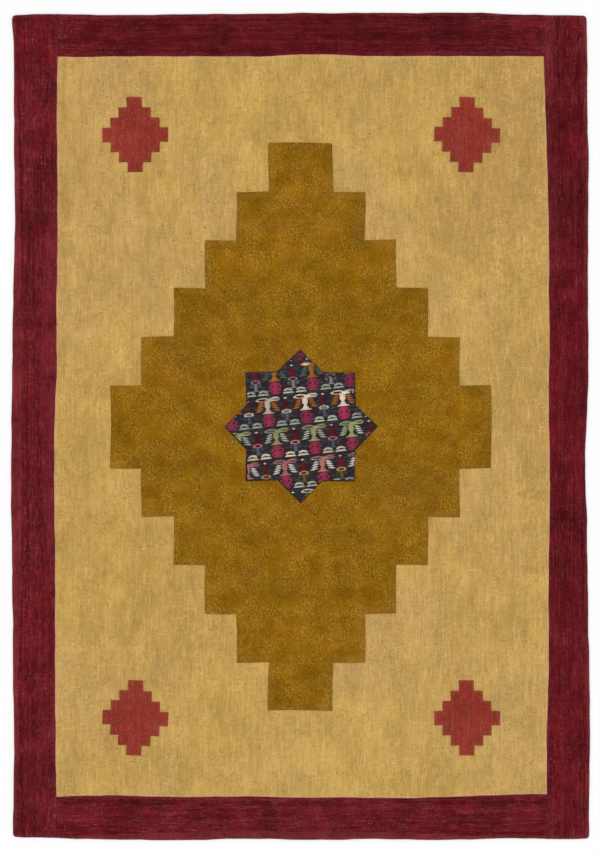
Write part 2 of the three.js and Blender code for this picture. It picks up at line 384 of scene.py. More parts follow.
class Weave(Finish):
    """The finish of a cloth, with the thread coordinates that its layers read. A bead is the short
    length of one yarn that shows between two warps."""

    def __init__(self, name, bead_wide=YARN, bead_long=RIB):
        super().__init__(name)
        self.bead = (bead_wide, bead_long)
        self.threads = self.add("ShaderNodeUVMap", uv_map="threads").outputs["UV"]
        self.laid = self.staggered()
        self.beads = self.add("ShaderNodeVectorMath", {0: self.laid, 1: (bead_wide, bead_long, 1.0)},
                              operation="SNAP").outputs[0]

    def staggered(self):
        """The thread coordinates with every other yarn moved along by half a rib, as plain weave lies."""
        apart = self.add("ShaderNodeSeparateXYZ", {"Vector": self.threads}).outputs
        yarn = self.math("FLOOR", self.math("DIVIDE", apart["X"], self.bead[0]))
        odd = self.math("FLOORED_MODULO", yarn, 2.0)
        moved = self.math("ADD", apart["Y"], self.math("MULTIPLY", odd, self.bead[1] / 2))
        return self.add("ShaderNodeCombineXYZ", {"X": apart["X"], "Y": moved}).outputs["Vector"]

    def patchy(self, across, along, seed, turn=0.0, beaded=False):
        """Noise in lengths of across by along, in millimetres, laid along the threads or turned from
        them. Beaded noise changes from one bead of yarn to the next, not within one."""
        place = {
            "Vector": self.beads if beaded else self.threads,
            "Location": (seed, seed * 0.71, 0.0),
            "Rotation": (0.0, 0.0, math.radians(turn)),
            "Scale": (across * MM, along * MM, 1.0),
        }
        moved = self.add("ShaderNodeMapping", place, vector_type="TEXTURE").outputs[0]
        fine = {"Vector": moved, "Scale": 1.0, "Detail": 2.0, "Roughness": NOISE_ROUGHNESS}
        return self.add("ShaderNodeTexNoise", fine, noise_dimensions="2D").outputs[0]

    def wave(self, period, direction):
        """Even waves across the yarns or along them, from 0 in a groove to 1 on a crown."""
        bands = {"Vector": self.laid, "Scale": WAVE_PERIOD / period}
        return self.add("ShaderNodeTexWave", bands, bands_direction=direction).outputs["Fac"]


def row_place(places, index):
    """Where the noise of one row of a table lies: a start, and an even step from row to row."""
    start, step = places
    return start + index * step


def beaded_patch(finish, row, seed):
    """The noise of one row of a table, in whole beads where it is fine."""
    fine = min(row["across"], row["along"]) < FINE_PATCH
    return finish.patchy(row["across"], row["along"], seed, row.get("turn", 0.0), fine)


def layered(finish, colour, layers):
    """Lays patches of other colours over a colour, one for each row of a table. A row with a zone
    shows only in zones of about that size, in millimetres."""
    for index, layer in enumerate(layers, start=1):
        speck = beaded_patch(finish, layer, row_place(LAYER_PLACES, index))
        amount = finish.ramp(speck, layer["low"], layer["high"], 0.0, layer["strength"])
        if "zone" in layer:
            zone = finish.patchy(layer["zone"], layer["zone"], row_place(ZONE_PLACES, index))
            amount = finish.math("MULTIPLY", amount, finish.ramp(zone, *ZONE_RANGE))
        colour = finish.tinted(colour, dye(*layer["dye"]), amount)
    return colour


def shaded(finish, colour, shades):
    """Makes a colour unevenly lighter and darker, in patches of one size for each row of a table."""
    level = 1.0
    for index, shade in enumerate(shades, start=1):
        patch = beaded_patch(finish, shade, row_place(SHADE_PLACES, index))
        change = finish.ramp(patch, *SHADE_RANGE, -shade["amount"], shade["amount"])
        level = finish.math("ADD", change, level)
    return finish.tinted(colour, finish.math("MAXIMUM", level, 0.1), 1.0, "MULTIPLY")


def edged(finish, colour, edges):
    """Tints strips that follow the piece's edge or the rug's rim, for each row of a table: its middle,
    how far it stays even, and where it ends, in millimetres."""
    for edge in edges:
        distance = finish.add("ShaderNodeAttribute", attribute_name=edge["from"]).outputs["Fac"]
        away = finish.math("ABSOLUTE", finish.math("SUBTRACT", distance, edge["middle"] * MM))
        amount = finish.ramp(away, edge["even"] * MM, edge["ends"] * MM, edge["strength"], 0.0)
        colour = finish.tinted(colour, dye(*edge["dye"]), amount)
    return colour


def stained(finish, colour, stains, edge=0.65, ragged=0.25):
    """Lays stains or dye lots over a colour, each at its own place on the rug, in millimetres. Their
    edges are soft or ragged by a share of their size."""
    place = finish.add("ShaderNodeTexCoord").outputs["Object"]
    torn = finish.patchy(TATTER_SIZE, TATTER_SIZE, TATTER_PLACE)
    tatter = finish.ramp(torn, *TATTER_RANGE, -ragged, ragged)
    for stain in stains:
        size = (1 / (stain["wide"] * MM), 1 / (stain["long"] * MM), 1.0)
        centre = (-stain["x"] * MM * size[0], -stain["y"] * MM * size[1], 0.0)
        moved = finish.add("ShaderNodeMapping", {"Vector": place, "Location": centre, "Scale": size})
        inputs = {0: moved.outputs[0], 1: (1, 1, 0)}
        flat = finish.add("ShaderNodeVectorMath", inputs, operation="MULTIPLY").outputs[0]
        away = finish.add("ShaderNodeVectorMath", {0: flat}, operation="LENGTH").outputs["Value"]
        rough = finish.math("ADD", away, tatter)
        amount = finish.ramp(rough, 1.0 - edge, 1.0, stain["strength"], 0.0)
        colour = finish.tinted(colour, dye(*stain["dye"]), amount)
    return colour


def woven(finish, colour, depth, shade):
    """Gives the finish its beads of yarn, as relief and as painted shade in the grooves between them. The
    yarn itself is made lighter by what the painted groove shade takes from the cloth's colour."""
    yarns = finish.wave(finish.bead[0], "X")
    ribs = finish.wave(finish.bead[1], "Y")
    across = finish.math("MULTIPLY", yarns, YARN_CROWN)
    lengthwise = finish.math("MULTIPLY", ribs, RIB_CROWN)
    crown = finish.math("MINIMUM", across, lengthwise)
    fuzz = finish.math("MULTIPLY", finish.patchy(0.9, 1.8, FUZZ_PLACE), FUZZ)
    relief = finish.math("ADD", finish.ramp(crown, 0.0, 1.0), fuzz)
    # painted shade: the grooves between the beads are darkened towards black
    groove_shade = finish.ramp(crown, 0.0, 0.5, shade, 0.0)
    lift = 1 / (1 - shade * GROOVE_SHARE)
    colour = finish.tinted(colour, (lift, lift, lift, 1.0), 1.0, "MULTIPLY")
    colour = finish.tinted(colour, BLACK, groove_shade)
    finish.raised(relief, RELIEF_STRENGTH, depth)
    return colour


def wool(finish, colour, roughness=0.93, sheen=0.02):
    """Ends a finish: dull wool with hardly any shine."""
    finish.tree.links.new(colour, finish.shader.inputs["Base Color"])
    finish.shader.inputs["Roughness"].default_value = roughness
    finish.shader.inputs["Specular IOR Level"].default_value = 0.03
    finish.shader.inputs["Sheen Weight"].default_value = sheen
    finish.shader.inputs["Sheen Roughness"].default_value = 0.6
    return finish.material


def sand_finish():
    finish = Weave("sand_flatweave")
    colour = layered(finish, dye(207, 168, 90), (
        {"across": 320, "along": 420, "low": 0.42, "high": 0.60, "strength": 0.70, "dye": (199, 160, 98)},
        {"across": 240, "along": 300, "low": 0.46, "high": 0.66, "strength": 0.55, "dye": (194, 155, 78)},
        {"across": 55, "along": 85, "low": 0.46, "high": 0.60, "strength": 0.20, "dye": (207, 167, 102)},
        {"across": 45, "along": 70, "low": 0.48, "high": 0.62, "strength": 0.18, "dye": (199, 162, 82)},
    ))
    colour = stained(finish, colour, (
        {"x": 560, "y": 740, "wide": 240, "long": 420, "strength": 0.75, "dye": (187, 147, 84)},
        {"x": -560, "y": 800, "wide": 260, "long": 330, "strength": 0.50, "dye": (200, 160, 97)},
        {"x": -540, "y": 120, "wide": 250, "long": 60, "strength": 0.60, "dye": (186, 148, 76)},
        {"x": -420, "y": -480, "wide": 330, "long": 380, "strength": 0.50, "dye": (194, 155, 77)},
        {"x": 430, "y": -760, "wide": 300, "long": 360, "strength": 0.50, "dye": (201, 163, 98)},
        {"x": 100, "y": -880, "wide": 560, "long": 160, "strength": 0.35, "dye": (212, 173, 91)},
        {"x": 655, "y": 60, "wide": 60, "long": 640, "strength": 0.60, "dye": (188, 150, 84)},
        {"x": 640, "y": -190, "wide": 52, "long": 22, "strength": 0.45, "dye": (160, 124, 62)},
        {"x": 640, "y": -280, "wide": 40, "long": 30, "strength": 0.32, "dye": (164, 128, 64)},
        {"x": 645, "y": -398, "wide": 54, "long": 20, "strength": 0.48, "dye": (158, 120, 60)},
        {"x": -654, "y": 615, "wide": 26, "long": 60, "strength": 0.45, "dye": (156, 120, 58)},
        {"x": -600, "y": 400, "wide": 30, "long": 150, "strength": 0.25, "dye": (164, 128, 64)},
        {"x": 255, "y": -886, "wide": 10, "long": 9, "strength": 0.40, "dye": (146, 106, 56)},
        {"x": 472, "y": -776, "wide": 7, "long": 26, "strength": 0.40, "dye": (142, 104, 58)},
        {"x": 640, "y": -734, "wide": 7, "long": 34, "strength": 0.40, "dye": (142, 104, 58)},
    ))
    colour = edged(finish, colour, (
        {"from": "edge_distance", "middle": 0, "even": 3, "ends": 10, "strength": 0.80,
         "dye": (213, 163, 119)},
    ))
    colour = layered(finish, colour, (
        {"across": 11, "along": 500, "low": 0.44, "high": 0.66, "strength": 0.28, "dye": (186, 146, 76)},
        {"across": 4.4, "along": 60, "low": 0.50, "high": 0.68, "strength": 0.40, "dye": (180, 141, 73)},
        {"across": 4.6, "along": 52, "low": 0.54, "high": 0.70, "strength": 0.46, "dye": (222, 184, 118)},
        {"across": 30, "along": 3.6, "low": 0.62, "high": 0.72, "strength": 0.42, "dye": (172, 132, 70)},
        {"across": 34, "along": 3.6, "low": 0.62, "high": 0.72, "strength": 0.36, "dye": (220, 184, 120)},
        {"across": 4.0, "along": 5.2, "low": 0.66, "high": 0.70, "strength": 0.74, "zone": 70,
         "dye": (124, 92, 44)},
        {"across": 4.6, "along": 5.2, "low": 0.67, "high": 0.72, "strength": 0.62, "zone": 60,
         "dye": (234, 204, 148)},
    ))
    colour = shaded(finish, colour, (
        {"across": 90, "along": 150, "amount": 0.078},
        {"across": 34, "along": 60, "amount": 0.052},
        {"across": 12, "along": 30, "amount": 0.050},
        {"across": 3.4, "along": 5.0, "amount": 0.060},
    ))
    colour = woven(finish, colour, 0.5 * MM, 0.24)
    return wool(finish, colour)


def burgundy_finish():
    finish = Weave("burgundy_flatweave")
    colour = stained(finish, dye(112, 20, 28), (
        {"x": -739, "y": 895, "wide": 400, "long": 125, "strength": 0.60, "dye": (108, 26, 33)},
        {"x": -739, "y": 655, "wide": 400, "long": 100, "strength": 0.80, "dye": (78, 17, 22)},
        {"x": -739, "y": 501, "wide": 400, "long": 46, "strength": 0.85, "dye": (114, 26, 34)},
        {"x": -739, "y": 416, "wide": 400, "long": 28, "strength": 0.75, "dye": (80, 18, 23)},
        {"x": -739, "y": -279, "wide": 400, "long": 130, "strength": 0.60, "dye": (86, 21, 26)},
        {"x": -739, "y": -860, "wide": 400, "long": 260, "strength": 0.65, "dye": (113, 26, 35)},
        {"x": 745, "y": 640, "wide": 400, "long": 120, "strength": 0.80, "dye": (78, 18, 23)},
        {"x": 745, "y": 960, "wide": 400, "long": 150, "strength": 0.60, "dye": (84, 20, 25)},
        {"x": 745, "y": 478, "wide": 400, "long": 26, "strength": 0.60, "dye": (110, 29, 35)},
        {"x": 745, "y": 412, "wide": 400, "long": 30, "strength": 0.65, "dye": (80, 19, 24)},
        {"x": 745, "y": -400, "wide": 400, "long": 250, "strength": 0.55, "dye": (84, 20, 25)},
        {"x": 745, "y": -690, "wide": 400, "long": 32, "strength": 0.70, "dye": (113, 28, 35)},
        {"x": 0, "y": 1090, "wide": 676, "long": 59, "strength": 0.60, "dye": (86, 19, 25)},
        {"x": -250, "y": 1090, "wide": 330, "long": 400, "strength": 0.70, "dye": (81, 17, 23)},
        {"x": 330, "y": 1090, "wide": 270, "long": 400, "strength": 0.75, "dye": (78, 18, 23)},
        {"x": 150, "y": -1090, "wide": 260, "long": 400, "strength": 0.70, "dye": (113, 27, 35)},
        {"x": -427, "y": -1052, "wide": 80, "long": 16, "strength": 0.80, "dye": (80, 19, 24)},
        {"x": -85, "y": -1095, "wide": 26, "long": 400, "strength": 0.65, "dye": (82, 19, 24)},
        {"x": 560, "y": -1090, "wide": 90, "long": 400, "strength": 0.50, "dye": (87, 21, 26)},
    ), edge=0.16, ragged=0.05)
    colour = edged(finish, colour, (
        {"from": "edge_distance", "middle": 0, "even": 4, "ends": 12, "strength": 0.30,
         "dye": (122, 44, 46)},
        # painted shade: a dark line where the turned hem steps down, about 17 mm in from the edge
        {"from": "edge_distance", "middle": 17, "even": 1, "ends": 6, "strength": 0.25,
         "dye": (70, 13, 18)},
        {"from": "rim_distance", "middle": 0, "even": 2, "ends": 13, "strength": 0.50,
         "dye": (126, 60, 62)},
    ))
    colour = layered(finish, colour, (
        {"across": 16, "along": 900, "low": 0.42, "high": 0.60, "strength": 0.45, "dye": (118, 38, 46)},
        {"across": 24, "along": 1100, "low": 0.46, "high": 0.62, "strength": 0.45, "dye": (80, 12, 17)},
        {"across": 4.8, "along": 420, "low": 0.58, "high": 0.70, "strength": 0.34, "dye": (126, 52, 58)},
        {"across": 5.0, "along": 60, "low": 0.48, "high": 0.68, "strength": 0.38, "dye": (70, 6, 10)},
        {"across": 4.8, "along": 50, "low": 0.56, "high": 0.72, "strength": 0.44, "dye": (136, 62, 68)},
        {"across": 3.4, "along": 120, "low": 0.66, "high": 0.76, "strength": 0.34, "zone": 120,
         "dye": (146, 86, 88)},
        {"across": 26, "along": 4.4, "low": 0.62, "high": 0.72, "strength": 0.34, "dye": (128, 56, 62)},
        {"across": 5.0, "along": 6.2, "low": 0.62, "high": 0.72, "strength": 0.45, "dye": (58, 4, 8)},
        {"across": 3.8, "along": 4.0, "low": 0.68, "high": 0.73, "strength": 0.42, "zone": 90,
         "dye": (172, 104, 102)},
        {"across": 15, "along": 3.8, "low": 0.58, "high": 0.68, "strength": 0.55, "zone": 110,
         "dye": (66, 8, 13)},
        {"across": 4.0, "along": 11, "low": 0.60, "high": 0.70, "strength": 0.42, "zone": 80,
         "dye": (64, 6, 12)},
    ))
    colour = stained(finish, colour, (
        {"x": 0, "y": 1090, "wide": 676, "long": 61, "strength": 0.44, "dye": (91, 13, 20)},
        {"x": 745, "y": 0, "wide": 64, "long": 1200, "strength": 0.28, "dye": (94, 14, 20)},
        {"x": -690, "y": 100, "wide": 36, "long": 520, "strength": 0.40, "dye": (130, 44, 50)},
        {"x": -800, "y": 60, "wide": 26, "long": 1000, "strength": 0.50, "dye": (132, 46, 50)},
        {"x": -60, "y": -1149, "wide": 640, "long": 22, "strength": 0.50, "dye": (132, 50, 56)},
    ), edge=0.1, ragged=0.02)
    colour = shaded(finish, colour, (
        {"across": 150, "along": 110, "amount": 0.14},
        {"across": 45, "along": 80, "amount": 0.15},
        {"across": 16, "along": 26, "amount": 0.12},
        {"across": 6.5, "along": 20, "amount": 0.10},
        {"across": 3.2, "along": 4.6, "amount": 0.25},
    ))
    colour = woven(finish, colour, 0.5 * MM, 0.26)
    return wool(finish, colour)


def mustard_finish():
    finish = Weave("mustard_flatweave")
    colour = layered(finish, dye(146, 100, 6), (
        {"across": 240, "along": 220, "low": 0.44, "high": 0.58, "strength": 0.60, "dye": (140, 97, 6)},
        {"across": 320, "along": 60, "low": 0.50, "high": 0.64, "strength": 0.50, "dye": (152, 108, 16)},
        {"across": 50, "along": 70, "low": 0.46, "high": 0.60, "strength": 0.40, "dye": (148, 95, 18)},
        {"across": 60, "along": 45, "low": 0.48, "high": 0.62, "strength": 0.40, "dye": (138, 102, 10)},
    ))
    colour = stained(finish, colour, (
        {"x": 60, "y": 560, "wide": 330, "long": 34, "strength": 0.45, "dye": (160, 110, 32)},
        {"x": -8, "y": 640, "wide": 16, "long": 150, "strength": 0.45, "dye": (148, 88, 28)},
        {"x": 300, "y": -190, "wide": 150, "long": 90, "strength": 0.40, "dye": (128, 90, 22)},
        {"x": -330, "y": 210, "wide": 120, "long": 110, "strength": 0.40, "dye": (128, 90, 22)},
        {"x": -140, "y": -430, "wide": 160, "long": 60, "strength": 0.40, "dye": (156, 110, 24)},
    ))
    colour = edged(finish, colour, (
        {"from": "edge_distance", "middle": 8, "even": 7, "ends": 13, "strength": 0.40,
         "dye": (148, 108, 34)},
        # painted shade: a dark line just inside the step where the turned hem ends
        {"from": "edge_distance", "middle": 22, "even": 1, "ends": 6, "strength": 0.30,
         "dye": (130, 90, 12)},
    ))
    colour = layered(finish, colour, (
        {"across": 22, "along": 420, "low": 0.52, "high": 0.70, "strength": 0.30, "dye": (148, 95, 26)},
        {"across": 2.8, "along": 4.6, "turn": -38, "low": 0.48, "high": 0.62, "strength": 0.70,
         "zone": 55, "dye": (102, 64, 0)},
        {"across": 2.8, "along": 4.6, "turn": -38, "low": 0.54, "high": 0.66, "strength": 0.80,
         "zone": 55, "dye": (186, 146, 58)},
        {"across": 4.4, "along": 6.0, "turn": 35, "low": 0.56, "high": 0.68, "strength": 0.45,
         "dye": (166, 128, 40)},
        {"across": 4.4, "along": 6.0, "turn": 35, "low": 0.56, "high": 0.68, "strength": 0.45,
         "dye": (110, 70, 0)},
    ))
    colour = shaded(finish, colour, (
        {"across": 210, "along": 150, "amount": 0.09},
        {"across": 60, "along": 50, "amount": 0.08},
        {"across": 15, "along": 15, "amount": 0.05},
        {"across": 3.0, "along": 3.2, "amount": 0.16},
    ))
    colour = woven(finish, colour, 0.5 * MM, 0.26)
    return wool(finish, colour, sheen=0.01)


def brick_finish():
    finish = Weave("brick_flatweave")
    colour = edged(finish, dye(149, 52, 38), (
        {"from": "edge_distance", "middle": 0, "even": 3, "ends": 9, "strength": 0.35,
         "dye": (160, 76, 64)},
        # painted shade: a dark line where the turned hem steps down, about 16 mm in from the edge
        {"from": "edge_distance", "middle": 16, "even": 1, "ends": 5, "strength": 0.25,
         "dye": (128, 44, 36)},
    ))
    colour = layered(finish, colour, (
        {"across": 90, "along": 120, "low": 0.44, "high": 0.60, "strength": 0.50, "dye": (138, 50, 40)},
        {"across": 9, "along": 160, "low": 0.48, "high": 0.68, "strength": 0.45, "dye": (154, 72, 64)},
        {"across": 4.4, "along": 22, "low": 0.52, "high": 0.68, "strength": 0.40, "dye": (132, 38, 28)},
        {"across": 5.0, "along": 5.0, "low": 0.58, "high": 0.72, "strength": 0.55, "dye": (164, 96, 92)},
    ))
    colour = shaded(finish, colour, (
        {"across": 90, "along": 80, "amount": 0.08},
        {"across": 26, "along": 30, "amount": 0.08},
        {"across": 10, "along": 12, "amount": 0.06},
        {"across": 3.2, "along": 3.6, "amount": 0.14},
    ))
    colour = woven(finish, colour, 0.45 * MM, 0.24)
    return wool(finish, colour)


def plum_finish():
    finish = Weave("plum_brocade_ground", BROCADE_WARP, CELL_TALL)
    colour = layered(finish, dye(44, 31, 31), (
        {"across": 46, "along": 7, "low": 0.52, "high": 0.60, "strength": 0.75, "dye": (28, 36, 58)},
        {"across": 40, "along": 6, "low": 0.55, "high": 0.62, "strength": 0.75, "dye": (32, 50, 42)},
        {"across": 36, "along": 6, "low": 0.55, "high": 0.62, "strength": 0.75, "dye": (56, 24, 44)},
        {"across": 42, "along": 5, "low": 0.57, "high": 0.64, "strength": 0.70, "dye": (34, 58, 66)},
        {"across": 30, "along": 4, "low": 0.58, "high": 0.66, "strength": 0.60, "dye": (88, 78, 66)},
        {"across": 3.0, "along": 3.0, "low": 0.50, "high": 0.72, "strength": 0.45, "dye": (84, 68, 64)},
    ))
    colour = woven(finish, colour, 0.35 * MM, 0.3)
    return wool(finish, colour)


def yarn_finish():
    """Brocading yarn: each float holds its own dye, and the twist shades it."""
    finish = Finish("brocading_yarn")
    own = finish.add("ShaderNodeAttribute", attribute_name="dye").outputs["Color"]
    twist = finish.speckled(900.0, 2.0)
    shadow = finish.ramp(twist, 0.35, 0.75, 0.0, 0.35)
    colour = finish.tinted(own, (0.02, 0.012, 0.012, 1.0), shadow)
    finish.raised(twist, 0.5, 0.2 * MM)
    return wool(finish, colour, 0.8)


def sewing_finish(name, thread, worn):
    """Sewing thread of one dye, worn to another in places."""
    finish = Finish(name)
    wear = finish.ramp(finish.speckled(60.0, 3.0), 0.4, 0.65)
    colour = finish.tinted(dye(*thread), dye(*worn), wear)
    finish.raised(finish.speckled(1500.0, 1.0), 0.5, 0.15 * MM)
    return wool(finish, colour, 0.75)


def floor_finish():
    finish = Finish("pale_floor")
    shade = finish.ramp(finish.speckled(0.6, 2.0), 0.3, 0.7)
    colour = finish.tinted((0.965, 0.965, 0.965, 1.0), (0.975, 0.975, 0.975, 1.0), shade)
    return wool(finish, colour, 0.9, 0.0)


# Cloth

def buckle(x, y):
    """How high the lying cloth is lifted off the floor here. It touches the floor at its lowest."""
    lift = 0.0
    for row in BUCKLES:
        spot = Vector((x / row["wide"], y / row["long"], row["seed"]))
        lift += row["height"] * (LOWEST_BUCKLE + noise.noise(spot))
    return max(0.0, lift)


def surface(x, y, edge, base, thick, top, flat=SEAM_FLAT):
    """The height of a sheet's upper or lower face, from the distance to its edge. The edge itself is
    rounded down to a flat share of the cloth's thickness."""
    inward = min(edge / EDGE_ROUND, 1.0)
    fullness = flat + (1 - flat) * math.sqrt(1 - (1 - inward) ** 2)
    middle = base + thick / 2 + buckle(x, y)
    if not top:
        return middle - fullness * thick / 2
    turned = min(1.0, max(0.0, (HEM_WIDTH - edge) / HEM_STEP))
    swell = HEM_SWELL * turned * inward
    dent = STITCH_DENT * math.exp(-(((edge - STITCH_RING * MM) / STITCH_DENT_WIDTH) ** 2))
    spot = Vector((x / PUCKER_SIZE, y / PUCKER_SIZE, base / MM))
    pucker = PUCKER * noise.noise(spot) * math.exp(-edge / PUCKER_REACH) * inward
    return middle + fullness * thick / 2 + swell - dent + pucker


def outline_of(node):
    """The node's outline at half its height, as one flat face in a new mesh, facing up."""
    bm = bmesh.new()
    bm.from_mesh(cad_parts[node].data)
    bmesh.ops.remove_doubles(bm, verts=bm.verts, dist=WELD)
    low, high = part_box(node)
    everything = bm.verts[:] + bm.edges[:] + bm.faces[:]
    middle = (0, 0, (low[2] + high[2]) / 2)
    bmesh.ops.bisect_plane(bm, geom=everything, plane_co=middle, plane_no=(0, 0, 1), clear_inner=True,
                           clear_outer=True)
    bmesh.ops.contextual_create(bm, geom=bm.edges[:])
    bmesh.ops.dissolve_limit(bm, angle_limit=STRAIGHT, verts=bm.verts[:], edges=bm.edges[:])
    bm.faces.ensure_lookup_table()
    face = bm.faces[0]
    if face.normal.z < 0:
        face.normal_flip()
    for vert in bm.verts:
        vert.co.z = 0.0
    return bm, face


def sides_of(face):
    """The straight sides of a face, each from its start to its end."""
    return [(loop.vert.co.copy(), loop.link_loop_next.vert.co.copy()) for loop in face.loops]


def along(sides, step):
    """Points at even steps along some sides."""
    points = []
    for start, end in sides:
        count = max(1, round((end - start).length / step))
        points += [start.lerp(end, i / count) for i in range(count)]
    return points


def finder(points):
    """A search tree that tells how far any place is from the nearest of some points."""
    tree = kdtree.KDTree(len(points))
    for index, point in enumerate(points):
        tree.insert(point, index)
    tree.balance()
    return tree


def rim_finder():
    """A finder for the rug's outer rim: the edges of the ground panels that meet no other panel."""
    edges = {}
    for node in GROUND:
        bm, face = outline_of(node)
        edges[node] = along(sides_of(face), OUTLINE_STEP)
        bm.free()
    rim = []
    for node, points in edges.items():
        others = finder([point for other in GROUND if other != node for point in edges[other]])
        rim += [point for point in points if others.find(point)[2] > SEAM_REACH]
    return finder(rim)


def ring_edges(bm, face, rings):
    """Insets the face step by step, so that every vertex knows how far it is from the edge, and
    returns the line that the sewing follows."""
    layer = bm.verts.layers.float.new("edge_distance")
    reached = 0.0
    sewing = []
    for ring in rings:
        bmesh.ops.inset_region(bm, faces=[face], thickness=(ring - reached) * MM, depth=0.0,
                               use_boundary=True, use_even_offset=True)
        reached = ring
        bmesh.ops.remove_doubles(bm, verts=face.verts[:], dist=CROWDED)
        face = max(bm.faces, key=lambda each: each.calc_area())
        for vert in face.verts:
            vert[layer] = ring * MM
        if ring == STITCH_RING:
            sewing = sides_of(face)
    return sewing


def cut_grid(bm, pitch):
    """Cuts the flat faces along an even grid."""
    for axis in (0, 1):
        spans = [vert.co[axis] for vert in bm.verts]
        count = int((max(spans) - min(spans)) / pitch)
        for i in range(1, count + 1):
            place = Vector((0, 0, 0))
            place[axis] = min(spans) + i * (max(spans) - min(spans)) / (count + 1)
            normal = Vector((1, 0, 0)) if axis == 0 else Vector((0, 1, 0))
            everything = bm.verts[:] + bm.edges[:] + bm.faces[:]
            bmesh.ops.bisect_plane(bm, geom=everything, dist=WELD, plane_co=place, plane_no=normal)


def measure_inside(bm, edge, rim, last_ring):
    """Writes how far the points inside the last ring are from the piece's edge, and how far every
    point is from the rug's rim."""
    to_edge = bm.verts.layers.float["edge_distance"]
    to_rim = bm.verts.layers.float.new("rim_distance")
    for vert in bm.verts:
        if vert[to_edge] >= last_ring - WELD:
            vert[to_edge] = max(last_ring, edge.find(vert.co)[2])
        vert[to_rim] = min(FAR_FROM_EDGE, rim.find(vert.co)[2])


def lay_threads(bm, turn, start):
    """Writes where each point lies along and across the threads, which wander a little and turn over
    the cloth's edge."""
    layer = bm.loops.layers.uv.new("threads")
    cosine = math.cos(turn)
    sine = math.sin(turn)
    for face in bm.faces:
        for loop in face.loops:
            x = loop.vert.co.x + loop.vert.co.z
            y = loop.vert.co.y + loop.vert.co.z
            spot = Vector((x * WANDER_TURNS[0], y * WANDER_TURNS[1], start))
            wander = THREAD_WANDER * noise.noise(spot)
            across = x * cosine + y * sine + start + wander
            lengthwise = y * cosine - x * sine + start + wander / 2
            loop[layer].uv = (across, lengthwise)


def new_piece(name, bm, material, smooth=True):
    """A piece made from a finished bmesh, which it frees."""
    mesh = bpy.data.meshes.new(name)
    bm.to_mesh(mesh)
    bm.free()
    mesh.materials.append(material)
    if smooth:
        mesh.shade_smooth()
    else:
        mesh.shade_flat()
    piece = bpy.data.objects.new(name, mesh)
    bpy.context.scene.collection.objects.link(piece)
    return piece


def cloth(node, material, rim, turn=0.0, start=0.0):
    """The visible sheet that stands for a node: its outline with a turned edge, cut into a fine grid,
    given its thickness and laid on the floor. Returns the piece and its sewing line."""
    low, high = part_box(node)
    width, length, thick = (high[i] - low[i] for i in range(3))
    bm, face = outline_of(node)
    area = face.calc_area()
    sides = sides_of(face)
    rings = HEM_RINGS + HEM_STEP_RINGS if node in LARGE_PATCHES else HEM_RINGS
    sewing = ring_edges(bm, face, rings)
    cut_grid(bm, GRID_PITCH)
    measure_inside(bm, finder(along(sides, OUTLINE_STEP)), rim, rings[-1] * MM)
    bmesh.ops.solidify(bm, geom=bm.faces[:], thickness=thick)
    bmesh.ops.recalc_face_normals(bm, faces=bm.faces[:])
    to_edge = bm.verts.layers.float["edge_distance"]
    to_rim = bm.verts.layers.float["rim_distance"]
    heights = [vert.co.z for vert in bm.verts]
    halfway = (min(heights) + max(heights)) / 2
    for vert in bm.verts:
        is_top = vert.co.z > halfway
        flat = SEAM_FLAT if vert[to_rim] - vert[to_edge] > SEAM_REACH else RIM_FLAT
        vert.co.z = surface(vert.co.x, vert.co.y, vert[to_edge], low[2], thick, is_top, flat)
    lay_threads(bm, turn, start)
    piece = new_piece(node + "_cloth", bm, material)
    return {"piece": piece, "node": node, "sewing": sewing, "sides": sides, "area": area,
            "size": (width, length), "base": low[2], "thick": thick}


# Sewing and brocading

def shape_of(bm):
    """The points and faces of a small shape, to be repeated many times. Frees it."""
    bm.verts.index_update()
    points = [vert.co.copy() for vert in bm.verts]
    faces = [[vert.index for vert in face.verts] for face in bm.faces]
    bm.free()
    return points, faces


def repeated(name, shape, places, material, dyes=None):
    """One joined mesh of a small shape put at every place."""
    points, faces = shape
    all_points = [place @ point for place in places for point in points]
    all_faces = [[i + n * len(points) for i in face] for n in range(len(places)) for face in faces]
    mesh = bpy.data.meshes.new(name)
    mesh.from_pydata(all_points, [], all_faces)
    mesh.materials.append(material)
    if dyes:
        layer = mesh.attributes.new("dye", "FLOAT_COLOR", "POINT")
        values = [channel for colour in dyes for _ in points for channel in colour]
        layer.data.foreach_set("color", values)
    mesh.shade_smooth()
    piece = bpy.data.objects.new(name, mesh)
    bpy.context.scene.collection.objects.link(piece)
    return piece


def stitch_shape():
    """A stitch along X, a unit long, wide and high: blunt, with its ends drawn down into the cloth."""
    bm = bmesh.new()
    bmesh.ops.create_uvsphere(bm, u_segments=6, v_segments=7, radius=0.5)
    bmesh.ops.rotate(bm, verts=bm.verts, cent=(0, 0, 0), matrix=Matrix.Rotation(math.pi / 2, 3, "Y"))
    for vert in bm.verts:
        vert.co.x = math.copysign(abs(vert.co.x * 2) ** STITCH_BLUNTNESS, vert.co.x) / 2
        vert.co.z -= STITCH_SAG * vert.co.x ** 2
    return shape_of(bm)


def float_shape():
    """A length of yarn: a six-sided bar along X, a unit long, wide and high."""
    bm = bmesh.new()
    bmesh.ops.create_cone(bm, cap_ends=True, segments=FLOAT_SIDES, radius1=0.5, radius2=0.5, depth=1.0)
    bmesh.ops.rotate(bm, verts=bm.verts, cent=(0, 0, 0), matrix=Matrix.Rotation(math.pi / 2, 3, "Y"))
    return shape_of(bm)


def laid_at(x, y, z, angle, size):
    """Where a small shape of a given size lies: its place, and its turn about the vertical."""
    return Matrix.Translation((x, y, z)) @ Matrix.Rotation(angle, 4, "Z") @ Matrix.Diagonal((*size, 1))


